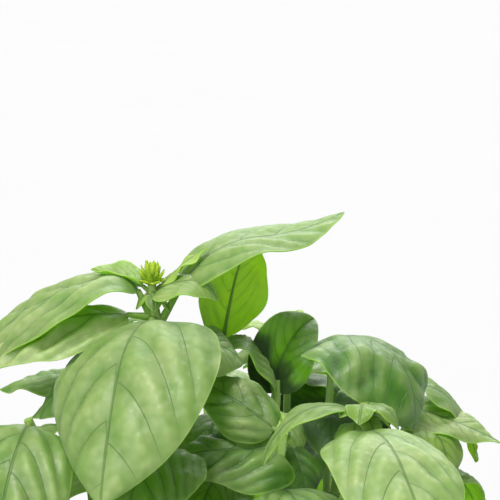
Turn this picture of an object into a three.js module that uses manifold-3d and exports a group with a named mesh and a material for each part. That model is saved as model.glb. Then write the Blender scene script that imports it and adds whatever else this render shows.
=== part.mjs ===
// Potted basil: a clay flower pot filled with potting soil, and a bunch of leafy basil shoots standing in it.
// Millimetres, +Z up. The origin is the middle of the pot's foot on the surface that it stands on.
// Seen from the front, +X is to the right and +Y runs away from the viewer.
import * as THREE from 'three';
import { mergeVertices } from 'three/addons/utils/BufferGeometryUtils.js';
import Module from 'manifold-3d';

// ---- driving dimensions ----
const POT_HEIGHT = 115;          // foot to rim
const POT_FOOT_RADIUS = 42.5;
const POT_BODY_RADIUS = 57;      // outside, just under the rim band
const POT_RIM_RADIUS = 65;       // outside of the rim band at its top
const RIM_BAND = 28;             // height of the thicker band round the rim
const RIM_STEP = 4.5;            // how far the band stands proud of the body
const POT_WALL = 6;
const POT_FLOOR = 8;
const DRAIN_RADIUS = 6;
const SOIL_TOP = 103;            // soil level at the wall
const SOIL_CROWN = 1.6;          // how much higher it lies in the middle
const GAP = 0.3;                 // clearance between pieces that touch
const STEM_START = 104;          // the shoots leave the soil here and start to lean
const STEM_SEAT = 92;            // bottom of the holes that the shoots stand in
const BLADE = 0.8;               // thickness of a leaf
const POT_SIDES = 40;

const wasm = await Module();
wasm.setup();

// ---- closed meshes to solids and back ----
function solid(geometry) {
  const g = geometry.clone();
  g.deleteAttribute('normal');
  g.deleteAttribute('uv');
  const merged = mergeVertices(g, 1e-4);
  const index = [];
  const source = merged.index.array;
  for (let i = 0; i < source.length; i += 3) {
    const [a, b, c] = [source[i], source[i + 1], source[i + 2]];
    if (a !== b && b !== c && c !== a) index.push(a, b, c);
  }
  return new wasm.Manifold(new wasm.Mesh({
    numProp: 3,
    vertProperties: new Float32Array(merged.attributes.position.array),
    triVerts: new Uint32Array(index),
  }));
}

function fuse(parts) {
  let body = parts[0];
  for (const part of parts.slice(1)) body = body.add(part);
  return body;
}

function toGeometry(body) {
  const mesh = body.getMesh();
  const g = new THREE.BufferGeometry();
  g.setAttribute('position', new THREE.BufferAttribute(new Float32Array(mesh.vertProperties), 3));
  g.setIndex(new THREE.BufferAttribute(new Uint32Array(mesh.triVerts), 1));
  g.computeVertexNormals();
  return g;
}

function node(name, body, colour, roughness) {
  const material = new THREE.MeshStandardMaterial({ color: colour, roughness, metalness: 0, flatShading: true });
  const mesh = new THREE.Mesh(toGeometry(body), material);
  mesh.name = name;
  return mesh;
}

// A solid of revolution about Z from a closed outline of [radius, height] pairs.
function turned(outline, sides) {
  const points = outline.map(([r, z]) => new THREE.Vector2(r, z));
  return new THREE.LatheGeometry(points, sides).rotateX(Math.PI / 2);
}

// ---- shoots ----
// A stem rises straight out of the soil and leans out towards its top.
function stemPoint(shoot, z) {
  const [rx, ry] = shoot.root;
  const [tx, ty, tz] = shoot.top;
  const u = Math.max((z - STEM_START) / (tz - STEM_START), 0);
  const k = u ** 1.4;
  return new THREE.Vector3(rx + (tx - rx) * k, ry + (ty - ry) * k, z);
}

// The square stem of basil, with its corners taken off.
function stemSolid(shoot) {
  const steps = 8;
  const points = [];
  for (let i = 0; i <= steps; i++) {
    const z = STEM_SEAT + GAP + (shoot.top[2] - STEM_SEAT - GAP) * (i / steps);
    points.push(stemPoint(shoot, z));
  }
  const r = shoot.radius, c = r * 0.55;
  const section = new THREE.Shape([
    [r, -c], [r, c], [c, r], [-c, r], [-r, c], [-r, -c], [-c, -r], [c, -r],
  ].map(([x, y]) => new THREE.Vector2(x, y)));
  return solid(new THREE.ExtrudeGeometry(section, {
    steps, extrudePath: new THREE.CatmullRomCurve3(points), bevelEnabled: false,
  }));
}

const degrees = (a) => THREE.MathUtils.degToRad(a);

// A leaf blade as rows of points across a curved midrib.
// heading and rise aim the leaf stalk, bend arches the midrib downwards, so much up to the knee and so much after it,
// roll, twist and sweep turn the blade about the midrib and to its left,
// cup curls the two halves, fold opens or closes them, and wave ripples the margins.
function leafRows(leaf, base, n, m) {
  const {
    heading, rise, stalk = 10, roll = 0, sweep = 0, twist = 0, length, width, bend = [40, 30], knee = 0.5,
    shape = [0.55, 0.85], fold = 0, cup = 30, wave = 1.5, waves = 2, phase = 0, lobe = 0.25,
  } = leaf;
  const h = degrees(heading), e = degrees(rise);
  const along = new THREE.Vector3(Math.cos(e) * Math.cos(h), Math.cos(e) * Math.sin(h), Math.sin(e));
  const side = new THREE.Vector3(-Math.sin(h), Math.cos(h), 0);
  const up = new THREE.Vector3().crossVectors(along, side);
  const point = base.clone().addScaledVector(along, stalk);
  side.applyAxisAngle(along, degrees(roll));
  up.applyAxisAngle(along, degrees(roll));
  const [a, b] = shape;
  const widest = (a / (a + b)) ** a * (b / (a + b)) ** b;
  const f = degrees(fold), c = degrees(cup), ds = 1 / n;
  const rows = [];
  for (let i = 0; i <= n; i++) {
    const s = i * ds;
    const half = i > 0 && i < n ? 0.5 * width * (s ** a * (1 - s) ** b) / widest : 0;
    const row = [];
    for (let j = -m; j <= m; j++) {
      const t = j / m, x = Math.abs(t);
      const out = c ? (Math.sin(f) - Math.sin(f - c * x)) / c : x * Math.cos(f);
      let lift = c ? (Math.cos(f - c * x) - Math.cos(f)) / c : x * Math.sin(f);
      lift = lift * half + wave * x * x
        * Math.sin(2 * Math.PI * waves * s + phase + (t > 0 ? 0 : 2.1)) * Math.sin(Math.PI * s);
      const back = lobe * half * x * x * (1 - s) ** 3;
      row.push(point.clone().addScaledVector(side, out * half * (t < 0 ? -1 : 1))
        .addScaledVector(up, lift).addScaledVector(along, -back));
    }
    rows.push(row);
    const inner = Math.min(Math.max(knee - s, 0), ds);
    const turn = degrees(bend[0] * inner / knee + bend[1] * (ds - inner) / (1 - knee));
    point.addScaledVector(along.clone().applyAxisAngle(side, turn / 2), length * ds);
    along.applyAxisAngle(side, turn);
    up.applyAxisAngle(side, turn);
    along.applyAxisAngle(up, degrees(sweep) * ds);
    side.applyAxisAngle(up, degrees(sweep) * ds);
    side.applyAxisAngle(along, degrees(twist) * ds);
    up.applyAxisAngle(along, degrees(twist) * ds);
  }
  return rows;
}

// The rows thickened to a closed blade: upper face, lower face with the same triangles, and the margin.
function bladeSolid(rows) {
  const n = rows.length - 1, cols = rows[0].length;
  const normals = rows.map((row, i) => row.map((_, j) => {
    const along = new THREE.Vector3().subVectors(rows[Math.min(i + 1, n)][j], rows[Math.max(i - 1, 0)][j]);
    const k = Math.min(Math.max(i, 1), n - 1);
    const across = new THREE.Vector3().subVectors(rows[k][Math.min(j + 1, cols - 1)], rows[k][Math.max(j - 1, 0)]);
    return along.cross(across).normalize();
  }));
  const positions = [], id = [];
  const put = (i, j, sign) => {
    const p = rows[i][j].clone().addScaledVector(normals[i][j], sign * BLADE / 2);
    positions.push(p.x, p.y, p.z);
    return positions.length / 3 - 1;
  };
  for (let i = 0; i <= n; i++) {
    const mid = (cols - 1) / 2;
    if (i === 0 || i === n) {
      const top = put(i, mid, 1), under = put(i, mid, -1);
      id.push(rows[i].map(() => [top, under]));
    } else {
      id.push(rows[i].map((_, j) => [put(i, j, 1), put(i, j, -1)]));
    }
  }
  const index = [];
  const face = (p, q, r) => {
    if (p === q || q === r || r === p) return;
    index.push(p[0], q[0], r[0], r[1], q[1], p[1]);
  };
  for (let i = 0; i < n; i++) {
    for (let j = 0; j < cols - 1; j++) {
      const [p, q, r, s] = [id[i][j], id[i + 1][j], id[i + 1][j + 1], id[i][j + 1]];
      if (i === 0) face(p, q, r);
      else if (i === n - 1) face(p, q, s);
      else if (j < (cols - 1) / 2) { face(p, q, r); face(p, r, s); }
      else { face(p, q, s); face(q, r, s); }
    }
    const [p, q] = [id[i][0], id[i + 1][0]];
    index.push(p[0], p[1], q[1], p[0], q[1], q[0]);
    const [r, s] = [id[i + 1][cols - 1], id[i][cols - 1]];
    index.push(s[0], r[0], r[1], s[0], r[1], s[1]);
  }
  return new wasm.Manifold(new wasm.Mesh({
    numProp: 3, vertProperties: new Float32Array(positions), triVerts: new Uint32Array(index),
  }));
}

// A leaf: its stalk, rooted in the middle of the stem and run a little way under the blade, and the blade.
function leafSolids(shoot, leaf) {
  const base = stemPoint(shoot, leaf.at);
  const n = Math.min(Math.max(Math.round(leaf.length / 10), 4), 9);
  const rows = leafRows(leaf, base, n, leaf.length > 46 ? 2 : 1);
  const from = base, to = rows[0][0].clone();
  const direction = new THREE.Vector3().subVectors(to, from).normalize();
  const reach = Math.min(4, leaf.length * 0.12);
  to.addScaledVector(direction, reach);
  const size = from.distanceTo(to);
  const thick = 0.75 + leaf.length * 0.007;
  const stalk = new THREE.CylinderGeometry(thick * 0.6, thick, size, 5).translate(0, size / 2, 0)
    .applyQuaternion(new THREE.Quaternion().setFromUnitVectors(new THREE.Vector3(0, 1, 0), direction))
    .translate(from.x, from.y, from.z);
  return [solid(stalk), bladeSolid(rows)];
}

function shootSolid(shoot) {
  const parts = [stemSolid(shoot)];
  for (const leaf of shoot.leaves) parts.push(...leafSolids(shoot, leaf));
  return fuse(parts);
}

// Every shoot: where it stands, where its tip is, and its leaves from the top down.
const SHOOTS = {
  shoot_flowering: {
    root: [-16, -10], top: [-30, -8, 279], radius: 2.4,
    leaves: [
      { at: 277, heading: -80, rise: -30, stalk: 2.4, length: 7, width: 6.5, bend: [30, 16], cup: 25, wave: 0.2 },
      { at: 276.5, heading: -18, rise: -30, stalk: 3, length: 7.5, width: 5, bend: [30, 16], cup: 20, wave: 0.2 },
      { at: 276.5, heading: -155, rise: -20, stalk: 2.4, length: 7, width: 5, bend: [36, 16], cup: 20, wave: 0.2 },
      { at: 276, heading: -22, rise: 34, stalk: 1, length: 28, width: 20, bend: [30, 92], roll: 20, cup: 16, lobe: 0.4, wave: 0.8 },
      { at: 275.5, heading: 172, rise: 37, stalk: 5, length: 20, width: 12, bend: [37, -20], roll: -16, cup: 0, fold: 38, wave: 0.6 },
      { at: 275.5, heading: 10, rise: 48, stalk: 4, length: 22, width: 8, bend: [10, 10], cup: 20 },
      { at: 267, heading: 192, rise: 8, length: 75, width: 35, bend: [34, 25], roll: -22, twist: 30, cup: 34, fold: -6 },
      { at: 266, heading: -107, rise: 12, stalk: 5, length: 86, width: 67, bend: [60, 24],
        roll: 12, sweep: -15, cup: 42, shape: [0.8, 0.95], lobe: 0.9, wave: 1.2 },
      { at: 263, heading: 180, rise: 64, stalk: 15, length: 86, width: 50, bend: [81, 38], knee: 0.17,
        roll: -4, twist: -16, cup: 18, shape: [0.7, 0.72], lobe: 0.3, wave: 1 },
      { at: 263, heading: 8, rise: 60, stalk: 17, length: 70, width: 31, bend: [61, -25], roll: 16, cup: 8, fold: -2, wave: 1 },
      { at: 254, heading: -8, rise: 28, stalk: 6, length: 29, width: 36, bend: [50, 40], roll: 20, cup: 25 },
      { at: 252, heading: 205, rise: 15, stalk: 8, length: 46, width: 34, bend: [50, 30], roll: -10, cup: 25 },
      { at: 244, heading: 195, rise: 20, length: 44, width: 26, bend: [50, 20], roll: -10, fold: -15 },
      { at: 238, heading: 97, rise: 15, stalk: 8, length: 34, width: 22, cup: 25, phase: 2 },
      { at: 218, heading: -107, rise: 24, stalk: 8, length: 55, width: 44, bend: [60, 20], cup: 25 },
      { at: 196, heading: -106, rise: 15, length: 67, width: 46, bend: [50, 30], cup: 25 },
    ],
  },
  shoot_upright: {
    root: [-2, 16], top: [-6, 26, 256], radius: 2,
    leaves: [
      { at: 250, heading: -50, rise: 76, stalk: 2, length: 42, width: 30, bend: [0, 6], roll: -8, sweep: 10, cup: 20, shape: [0.75, 0.85] },
      { at: 240, heading: 165, rise: 15, stalk: 4, length: 26, width: 20, cup: 25 },
      { at: 226, heading: 110, rise: 30, stalk: 6, length: 34, width: 39, bend: [50, 30], cup: 25 },
      { at: 222, heading: -102, rise: 20, stalk: 4, length: 41, width: 32, bend: [50, 30], cup: 25 },
      { at: 198, heading: -112, rise: 20, stalk: 5, length: 30, width: 34, bend: [60, 20], cup: 25 },
    ],
  },
  shoot_centre: {
    root: [10, 6], top: [15, 15, 238], radius: 2.2,
    leaves: [
      { at: 231, heading: 204, rise: 88, stalk: 2, length: 43, width: 27, bend: [46, 120], roll: -16, cup: 25 },
      { at: 230, heading: 84, rise: 80, stalk: 3, length: 36, width: 26, bend: [8, 56], sweep: -54, cup: 12, fold: 24 },
      { at: 227, heading: -80, rise: -5, stalk: 3, length: 27, width: 20, bend: [66, 16], cup: 25, phase: 1.4 },
      { at: 216, heading: -62, rise: 15, stalk: 4, length: 32, width: 27, bend: [66, 20], cup: 25 },
      { at: 180, heading: -28, rise: 15, stalk: 6, length: 32, width: 22, bend: [50, 30], cup: 25 },
    ],
  },
  shoot_front_right: {
    root: [26, -10], top: [45, -28, 240], radius: 2.2,
    leaves: [
      { at: 239, heading: -100, rise: 40, stalk: 1, length: 17, width: 12, bend: [50, 50] },
      { at: 238, heading: -22, rise: 46, stalk: 1.2, length: 17, width: 11.5, bend: [84, 40], cup: 20, wave: 0.4 },
      { at: 237, heading: -140, rise: 52, stalk: 1.2, length: 12, width: 8, bend: [60, 40], cup: 20, wave: 0.4 },
      { at: 236, heading: 200, rise: 31, stalk: 4, length: 44, width: 12, bend: [62, 52], roll: -6, cup: 16, wave: 0.9 },
      { at: 229, heading: -73, rise: 25, stalk: 4, length: 78, width: 47, bend: [52, 14], roll: -2, shape: [0.6, 0.75], lobe: 0.5 },
      { at: 196, heading: -22, rise: 15, stalk: 8, length: 67, width: 49, bend: [50, 30], cup: 25 },
      { at: 172, heading: 12, rise: 10, stalk: 8, length: 44, width: 32, cup: 25, phase: 0.7 },
      { at: 160, heading: -45, rise: 15, stalk: 8, length: 65, width: 44, bend: [50, 30], cup: 25 },
      { at: 132, heading: -30, rise: 20, stalk: 8, length: 48, width: 34, bend: [50, 30], cup: 25 },
    ],
  },
  shoot_front_centre: {
    root: [6, -24], top: [17, -18, 227], radius: 2,
    leaves: [
      { at: 227, heading: 100, rise: 50, stalk: 2, length: 10, width: 8, bend: [30, 20] },
      { at: 226, heading: 172, rise: 38, stalk: 4, length: 34, width: 25, bend: [14, 24], roll: -50, cup: 35 },
      { at: 221, heading: 186, rise: 5, stalk: 1, length: 36, width: 33, bend: [10, 20], roll: -38, cup: 35, shape: [0.42, 0.8], lobe: 0.9 },
      { at: 207, heading: -68, rise: 14, stalk: 5, length: 48, width: 40, bend: [66, 20], cup: 25 },
      { at: 194, heading: -112, rise: 10, stalk: 8, length: 70, width: 51, bend: [60, 20], cup: 25 },
      { at: 176, heading: -150, rise: 15, stalk: 8, length: 44, width: 32, bend: [50, 30], cup: 25, phase: 2.5 },
      { at: 158, heading: -88, rise: 10, stalk: 8, length: 65, width: 46, bend: [60, 20], cup: 25 },
      { at: 130, heading: -120, rise: 20, stalk: 8, length: 48, width: 34, bend: [50, 20], cup: 25 },
    ],
  },
  shoot_front_left: {
    root: [-36, -14], top: [-72, -32, 236], radius: 2,
    leaves: [
      { at: 234.5, heading: -95, rise: 2, stalk: 2, length: 76, width: 42, bend: [76, 8], roll: -8, cup: 25, shape: [0.5, 0.8], lobe: 0.35 },
      { at: 232, heading: 5, rise: 20, stalk: 2, length: 18, width: 12, bend: [30, 20] },
      { at: 206, heading: 235, rise: 15, stalk: 8, length: 67, width: 49, bend: [50, 30], cup: 25 },
      { at: 202, heading: 168, rise: 15, stalk: 8, length: 48, width: 44, bend: [50, 30], cup: 25 },
      { at: 186, heading: 130, rise: 15, stalk: 8, length: 42, width: 30, bend: [50, 30], cup: 25, phase: 1.2 },
      { at: 164, heading: 205, rise: 15, stalk: 8, length: 65, width: 44, bend: [50, 30], cup: 25 },
      { at: 134, heading: 236, rise: 20, stalk: 8, length: 48, width: 34, bend: [50, 30], cup: 25 },
    ],
  },
  shoot_left: {
    root: [-26, 18], top: [-46, 32, 258], radius: 2,
    leaves: [
      { at: 256, heading: -20, rise: 25, stalk: 2, length: 18, width: 10, bend: [20, 20] },
      { at: 246, heading: 75, rise: 25, stalk: 6, length: 44, width: 32, bend: [50, 30], cup: 25, phase: 1 },
      { at: 232, heading: 160, rise: 10, length: 48, width: 32, bend: [20, 20] },
      { at: 222, heading: 110, rise: 20, stalk: 8, length: 65, width: 46, bend: [50, 30], cup: 25 },
      { at: 196, heading: 165, rise: 15, stalk: 8, length: 62, width: 44, bend: [50, 30], cup: 25 },
      { at: 180, heading: 86, rise: 15, stalk: 8, length: 44, width: 32, bend: [50, 30], cup: 25, phase: 0.4 },
      { at: 164, heading: 135, rise: 15, stalk: 8, length: 60, width: 41, bend: [50, 30], cup: 25 },
      { at: 134, heading: 165, rise: 20, stalk: 8, length: 48, width: 34, bend: [50, 30], cup: 25 },
    ],
  },
  shoot_back_centre: {
    root: [18, 30], top: [20, 44, 254], radius: 2,
    leaves: [
      { at: 252, heading: 60, rise: 50, stalk: 2, length: 10, width: 9, bend: [30, 30] },
      { at: 250, heading: 190, rise: 25, stalk: 3, length: 20, width: 12, bend: [20, 20] },
      { at: 242, heading: 162, rise: 15, stalk: 5, length: 30, width: 24, bend: [50, 30], cup: 25 },
      { at: 232, heading: 85, rise: 20, stalk: 6, length: 60, width: 41, bend: [50, 30], cup: 25 },
      { at: 232, heading: -8, rise: 10, stalk: 6, length: 34, width: 19, bend: [50, 30], cup: 25, phase: 1.5 },
      { at: 212, heading: -100, rise: 20, stalk: 5, length: 20, width: 24, bend: [60, 20], cup: 25 },
      { at: 204, heading: -2, rise: 20, stalk: 6, length: 24, width: 32, bend: [50, 30], cup: 25 },
    ],
  },
  shoot_back_left: {
    root: [-4, 40], top: [-14, 70, 224], radius: 2,
    leaves: [
      { at: 222, heading: 95, rise: 30, stalk: 3, length: 32, width: 41, bend: [60, 30], cup: 25 },
      { at: 220, heading: 190, rise: 20, stalk: 3, length: 22, width: 18, bend: [50, 30], cup: 25 },
      { at: 206, heading: 0, rise: 15, stalk: 5, length: 30, width: 24, bend: [50, 30], cup: 25 },
      { at: 186, heading: 125, rise: 15, stalk: 8, length: 55, width: 41, bend: [50, 30], cup: 25 },
      { at: 180, heading: 60, rise: 15, stalk: 8, length: 53, width: 39, bend: [50, 30], cup: 25 },
      { at: 140, heading: 100, rise: 20, stalk: 8, length: 53, width: 37, bend: [50, 30], cup: 25 },
    ],
  },
  shoot_back_right: {
    root: [29, 31], top: [46, 66, 220], radius: 2,
    leaves: [
      { at: 218, heading: 50, rise: 30, stalk: 3, length: 42, width: 41, bend: [60, 30], cup: 25 },
      { at: 214, heading: 186, rise: 4, stalk: 4, length: 28, width: 34, bend: [16, 16], roll: -52, cup: 20 },
      { at: 184, heading: 85, rise: 15, stalk: 8, length: 46, width: 39, bend: [50, 30], cup: 25 },
      { at: 180, heading: 15, rise: 15, stalk: 8, length: 53, width: 39, bend: [50, 30], cup: 25 },
      { at: 140, heading: 50, rise: 20, stalk: 8, length: 53, width: 37, bend: [50, 30], cup: 25 },
    ],
  },
  shoot_inner_right: {
    root: [32, 12], top: [36, 24, 250], radius: 2,
    leaves: [
      { at: 250, heading: -50, rise: 29, stalk: 4, length: 61, width: 64, bend: [56, 72],
        roll: -15, sweep: 30, cup: 44, shape: [0.6, 0.72], lobe: 0.36 },
      { at: 226, heading: -90, rise: 18, stalk: 5, length: 32, width: 23, bend: [60, 26], cup: 25 },
      { at: 222, heading: 10, rise: 6, stalk: 4, length: 23, width: 27, bend: [16, 16], roll: 44, cup: 20 },
      { at: 208, heading: 10, rise: 20, stalk: 6, length: 20, width: 34, bend: [50, 30], cup: 25 },
      { at: 192, heading: -70, rise: 20, stalk: 5, length: 28, width: 24, bend: [60, 20], cup: 25 },
    ],
  },
  shoot_right: {
    root: [38, 18], top: [71, 30, 234], radius: 2,
    leaves: [
      { at: 232.5, heading: 14, rise: -18, stalk: 2, length: 23, width: 21, bend: [26, 4], roll: 20, cup: 14, lobe: 0.4, wave: 0.6 },
      { at: 224, heading: -15, rise: -15, stalk: 1, length: 36, width: 27, bend: [4, 8], roll: 14, cup: 15, shape: [0.45, 1.3], lobe: 0.9 },
      { at: 224, heading: 95, rise: 10, stalk: 5, length: 32, width: 25, bend: [50, 30], cup: 25 },
      { at: 214, heading: 14, rise: 4, stalk: 18, length: 24, width: 18, bend: [64, 30], roll: 10, cup: 20 },
      { at: 213, heading: -48, rise: 25, length: 32, width: 25, bend: [104, 12], cup: 20 },
      { at: 196, heading: 40, rise: 15, stalk: 8, length: 55, width: 41, bend: [50, 30], cup: 25 },
      { at: 158, heading: -4, rise: 15, stalk: 8, length: 62, width: 41, bend: [50, 30], cup: 25 },
      { at: 134, heading: 25, rise: 20, stalk: 8, length: 48, width: 34, bend: [50, 30], cup: 25 },
    ],
  },
};

// ---- pot, soil and bud head ----
function potSolid() {
  const bandFoot = POT_HEIGHT - RIM_BAND;
  const inner = (z) => POT_FOOT_RADIUS - POT_WALL
    + (POT_BODY_RADIUS - POT_FOOT_RADIUS) * ((z - POT_FLOOR) / (POT_HEIGHT - POT_FLOOR));
  const outline = [
    [DRAIN_RADIUS, 0], [POT_FOOT_RADIUS - 1.5, 0], [POT_FOOT_RADIUS, 1.5],
    [POT_BODY_RADIUS, bandFoot], [POT_BODY_RADIUS + RIM_STEP, bandFoot],
    [POT_RIM_RADIUS, POT_HEIGHT - 1.5], [POT_RIM_RADIUS - 1.5, POT_HEIGHT],
    [inner(POT_HEIGHT) + 1.5, POT_HEIGHT], [inner(POT_HEIGHT), POT_HEIGHT - 1.5],
    [inner(POT_FLOOR), POT_FLOOR], [DRAIN_RADIUS, POT_FLOOR], [DRAIN_RADIUS, 0],
  ];
  return { body: solid(turned(outline, POT_SIDES)), inner };
}

function soilSolid(inner) {
  const low = POT_FLOOR + GAP;
  const outline = [[0, low], [inner(low) - 2 * GAP, low], [inner(SOIL_TOP) - 2 * GAP, SOIL_TOP]];
  for (const k of [0.75, 0.5, 0.25]) {
    outline.push([inner(SOIL_TOP) * k, SOIL_TOP + SOIL_CROWN * Math.cos(k * Math.PI / 2)]);
  }
  outline.push([0, SOIL_TOP + SOIL_CROWN]);
  let body = solid(turned(outline, POT_SIDES / 2));
  for (const shoot of Object.values(SHOOTS)) {
    const [x, y] = shoot.root;
    const holeRadius = shoot.radius * 1.14 + 2 * GAP;
    const hole = new THREE.CylinderGeometry(holeRadius, holeRadius, 20, 12)
      .rotateX(Math.PI / 2).translate(x, y, STEM_SEAT + 10);
    body = body.subtract(solid(hole));
  }
  return body;
}

// The young flower head: a short core set round with whorls of small pointed bracts.
function budHeadSolid(shoot) {
  const foot = stemPoint(shoot, shoot.top[2]).add(new THREE.Vector3(0, 0, GAP));
  const core = turned([[0, 0], [1.6, 0], [3.0, 1.6], [2.8, 4.6], [0, 6.2]], 8);
  const parts = [solid(core.translate(foot.x, foot.y, foot.z))];
  const whorls = [
    { height: 1.2, count: 8, rise: 50, length: 6.2 },
    { height: 2.4, count: 7, rise: 64, length: 6.0 },
    { height: 3.6, count: 5, rise: 76, length: 5.0 },
  ];
  whorls.forEach(({ height, count, rise, length }, level) => {
    for (let i = 0; i < count; i++) {
      const turn = (2 * Math.PI * i) / count + level * 0.5;
      const bract = new THREE.ConeGeometry(0.95, length, 4).scale(1, 1, 0.6).translate(0, length / 2 - 0.2, 0)
        .rotateZ(-Math.PI / 2 + degrees(rise)).translate(1.2, 0, 0).rotateX(Math.PI / 2).rotateZ(turn)
        .translate(foot.x, foot.y, foot.z + height);
      parts.push(solid(bract));
    }
  });
  return fuse(parts);
}

const plant = new THREE.Group();
const pot = potSolid();
plant.add(node('pot', pot.body, 0xb5653d, 0.85));
plant.add(node('soil', soilSolid(pot.inner), 0x3a2a1e, 0.95));
for (const [name, shoot] of Object.entries(SHOOTS)) {
  plant.add(node(name, shootSolid(shoot), 0x7fb04a, 0.5));
}
plant.add(node('bud_head', budHeadSolid(SHOOTS.shoot_flowering), 0xa6b848, 0.6));

export default plant;
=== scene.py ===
# %% [markdown]
# # A pot of basil
# A bunch of basil shoots stands in a clay pot filled with potting soil. The solids for size, weight and
# contact were made elsewhere and come in as a fixed frame. This lesson dresses them: every shoot gets fine
# leaves with veins, the flower head gets its bracts, the soil gets crumbs, and the pot gets a turned skin.

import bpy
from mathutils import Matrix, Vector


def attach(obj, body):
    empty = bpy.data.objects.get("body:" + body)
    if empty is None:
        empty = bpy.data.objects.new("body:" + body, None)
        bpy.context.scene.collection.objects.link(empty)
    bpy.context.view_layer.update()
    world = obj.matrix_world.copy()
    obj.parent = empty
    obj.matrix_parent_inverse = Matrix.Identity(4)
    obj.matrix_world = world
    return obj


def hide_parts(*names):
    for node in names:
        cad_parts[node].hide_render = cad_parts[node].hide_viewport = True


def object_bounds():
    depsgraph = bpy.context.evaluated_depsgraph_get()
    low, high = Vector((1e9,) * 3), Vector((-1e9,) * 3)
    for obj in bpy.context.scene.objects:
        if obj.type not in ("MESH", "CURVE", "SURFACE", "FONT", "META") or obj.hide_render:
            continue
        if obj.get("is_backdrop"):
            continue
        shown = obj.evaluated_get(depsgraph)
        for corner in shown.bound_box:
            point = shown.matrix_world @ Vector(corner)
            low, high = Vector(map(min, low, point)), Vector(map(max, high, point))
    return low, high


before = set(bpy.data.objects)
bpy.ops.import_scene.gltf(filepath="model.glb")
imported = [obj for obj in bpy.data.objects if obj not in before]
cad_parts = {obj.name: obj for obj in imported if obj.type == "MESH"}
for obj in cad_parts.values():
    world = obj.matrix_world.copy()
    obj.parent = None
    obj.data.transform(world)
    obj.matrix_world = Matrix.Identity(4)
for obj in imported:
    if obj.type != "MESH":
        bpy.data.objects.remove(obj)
solids_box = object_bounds()
print("solids:", ", ".join(sorted(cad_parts)))

# %% Tools from Python and Blender
import random
from math import cos, exp, pi, radians, sin

import bmesh
import bpy
from mathutils import Matrix, Quaternion, Vector, noise

MM = 0.001
print("the solids span", [round((high - low) / MM, 1) for low, high in zip(*solids_box)], "mm")

# %% [markdown]
# ## Finishes
# A plant has few colours, but each one changes over its surface. Two effects are shader node groups:
# mottling, which gives broad clouds and fine specks to every finish, and the veins of a leaf. The groups
# give masks only. Each material keeps its own Principled shader, where it can be read easily.

# %% Helpers for nodes
def shader_group(name, inputs, outputs):
    """A new shader node group with float or vector sockets, and its two end nodes."""
    print("group:", name)
    group = bpy.data.node_groups.new(name, "ShaderNodeTree")
    for direction, sockets in (("INPUT", inputs), ("OUTPUT", outputs)):
        for title, kind in sockets.items():
            group.interface.new_socket(name=title, in_out=direction, socket_type="NodeSocket" + kind)
    start = group.nodes.new("NodeGroupInput")
    end = group.nodes.new("NodeGroupOutput")
    return group, start, end


def connect(tree, node, inputs):
    """Gives each of those inputs its value or the socket that it comes from. None leaves it alone."""
    for title, value in inputs.items():
        if isinstance(value, bpy.types.NodeSocket):
            tree.links.new(value, node.inputs[title])
        elif value is not None:
            node.inputs[title].default_value = value


def place(tree, kind, inputs, **settings):
    """A new node of that kind, with its inputs and settings."""
    node = tree.nodes.new("ShaderNode" + kind)
    for title, value in settings.items():
        setattr(node, title, value)
    connect(tree, node, inputs)
    return node


def maths(tree, operation, first, second=None, clamp=False):
    """The result of a Math node, given numbers or sockets."""
    return place(tree, "Math", {0: first, 1: second}, operation=operation, use_clamp=clamp).outputs[0]


def fade(tree, value, low, high, out_low=0.0, out_high=1.0):
    """A smooth Map Range from low..high to out_low..out_high."""
    limits = {"From Min": low, "From Max": high, "To Min": out_low, "To Max": out_high}
    return place(tree, "MapRange", {"Value": value, **limits}, interpolation_type="SMOOTHSTEP").outputs[0]


print("helpers for nodes: shader_group, connect, place, maths and fade")

# %% The mottling group
def make_mottling():
    """Two noises. The specks are nine times finer than the clouds."""
    group, start, end = shader_group("Mottling", {"Coordinates": "Vector", "Size": "Float"},
                                     {"Clouds": "Float", "Specks": "Float"})
    for title, steps, detail in (("Clouds", 1.0, 3.0), ("Specks", 9.0, 2.0)):
        scale = maths(group, "MULTIPLY", start.outputs["Size"], steps)
        cloud = place(group, "TexNoise",
                      {"Detail": detail, "Scale": scale, "Vector": start.outputs["Coordinates"]})
        connect(group, end, {title: fade(group, cloud.outputs[0], 0.3, 0.7)})
    return group


mottling = make_mottling()

# %% [markdown]
# The blades carry a vector named "veins": the distance from the midrib in millimetres, a phase that is a
# whole number on every side vein, and the distance to the margin in millimetres. Because the phase runs
# smoothly over the blade, the shader can draw a vein far finer than the mesh: it only asks how near the
# phase is to a whole number. A number named "spacing", the millimetres from one side vein to the next,
# turns that into a width.

# %% The leaf vein group
def make_leaf_veins():
    """Masks of the veins and the margin, and a ramp from 0 on a side vein to 1 halfway to the next."""
    group, start, end = shader_group("Leaf veins", {"Veins": "Vector", "Spacing": "Float"},
                                     {"Vein": "Float", "Margin": "Float", "Cells": "Float"})
    across, phase, edge = place(group, "SeparateXYZ", {0: start.outputs["Veins"]}).outputs
    out = maths(group, "ABSOLUTE", across)
    near = maths(group, "ABSOLUTE", maths(group, "SUBTRACT", phase, maths(group, "ROUND", phase)))
    beside = maths(group, "MULTIPLY", near, start.outputs["Spacing"])
    side_vein = fade(group, beside, 0.08, 0.42, 1.0, 0.0)
    side_vein = maths(group, "MULTIPLY", side_vein, fade(group, edge, 0.5, 14.0, 0.1, 0.75))
    midrib = fade(group, out, 0.15, 0.65, 1.0, 0.0)
    connect(group, end, {"Vein": maths(group, "MAXIMUM", side_vein, midrib),
                         "Margin": fade(group, edge, 0.15, 0.7, 1.0, 0.0),
                         "Cells": maths(group, "MULTIPLY", near, 2.0)})
    return group


leaf_veins = make_leaf_veins()

# %% Small helpers for materials
def material(name):
    """A new material, its tree, its Principled shader, and the place on the object in its own metres."""
    print("finish:", name)
    new = bpy.data.materials.new(name)
    new.use_nodes = True
    tree = new.node_tree
    return new, tree, tree.nodes["Principled BSDF"], place(tree, "TexCoord", {}).outputs["Object"]


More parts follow.
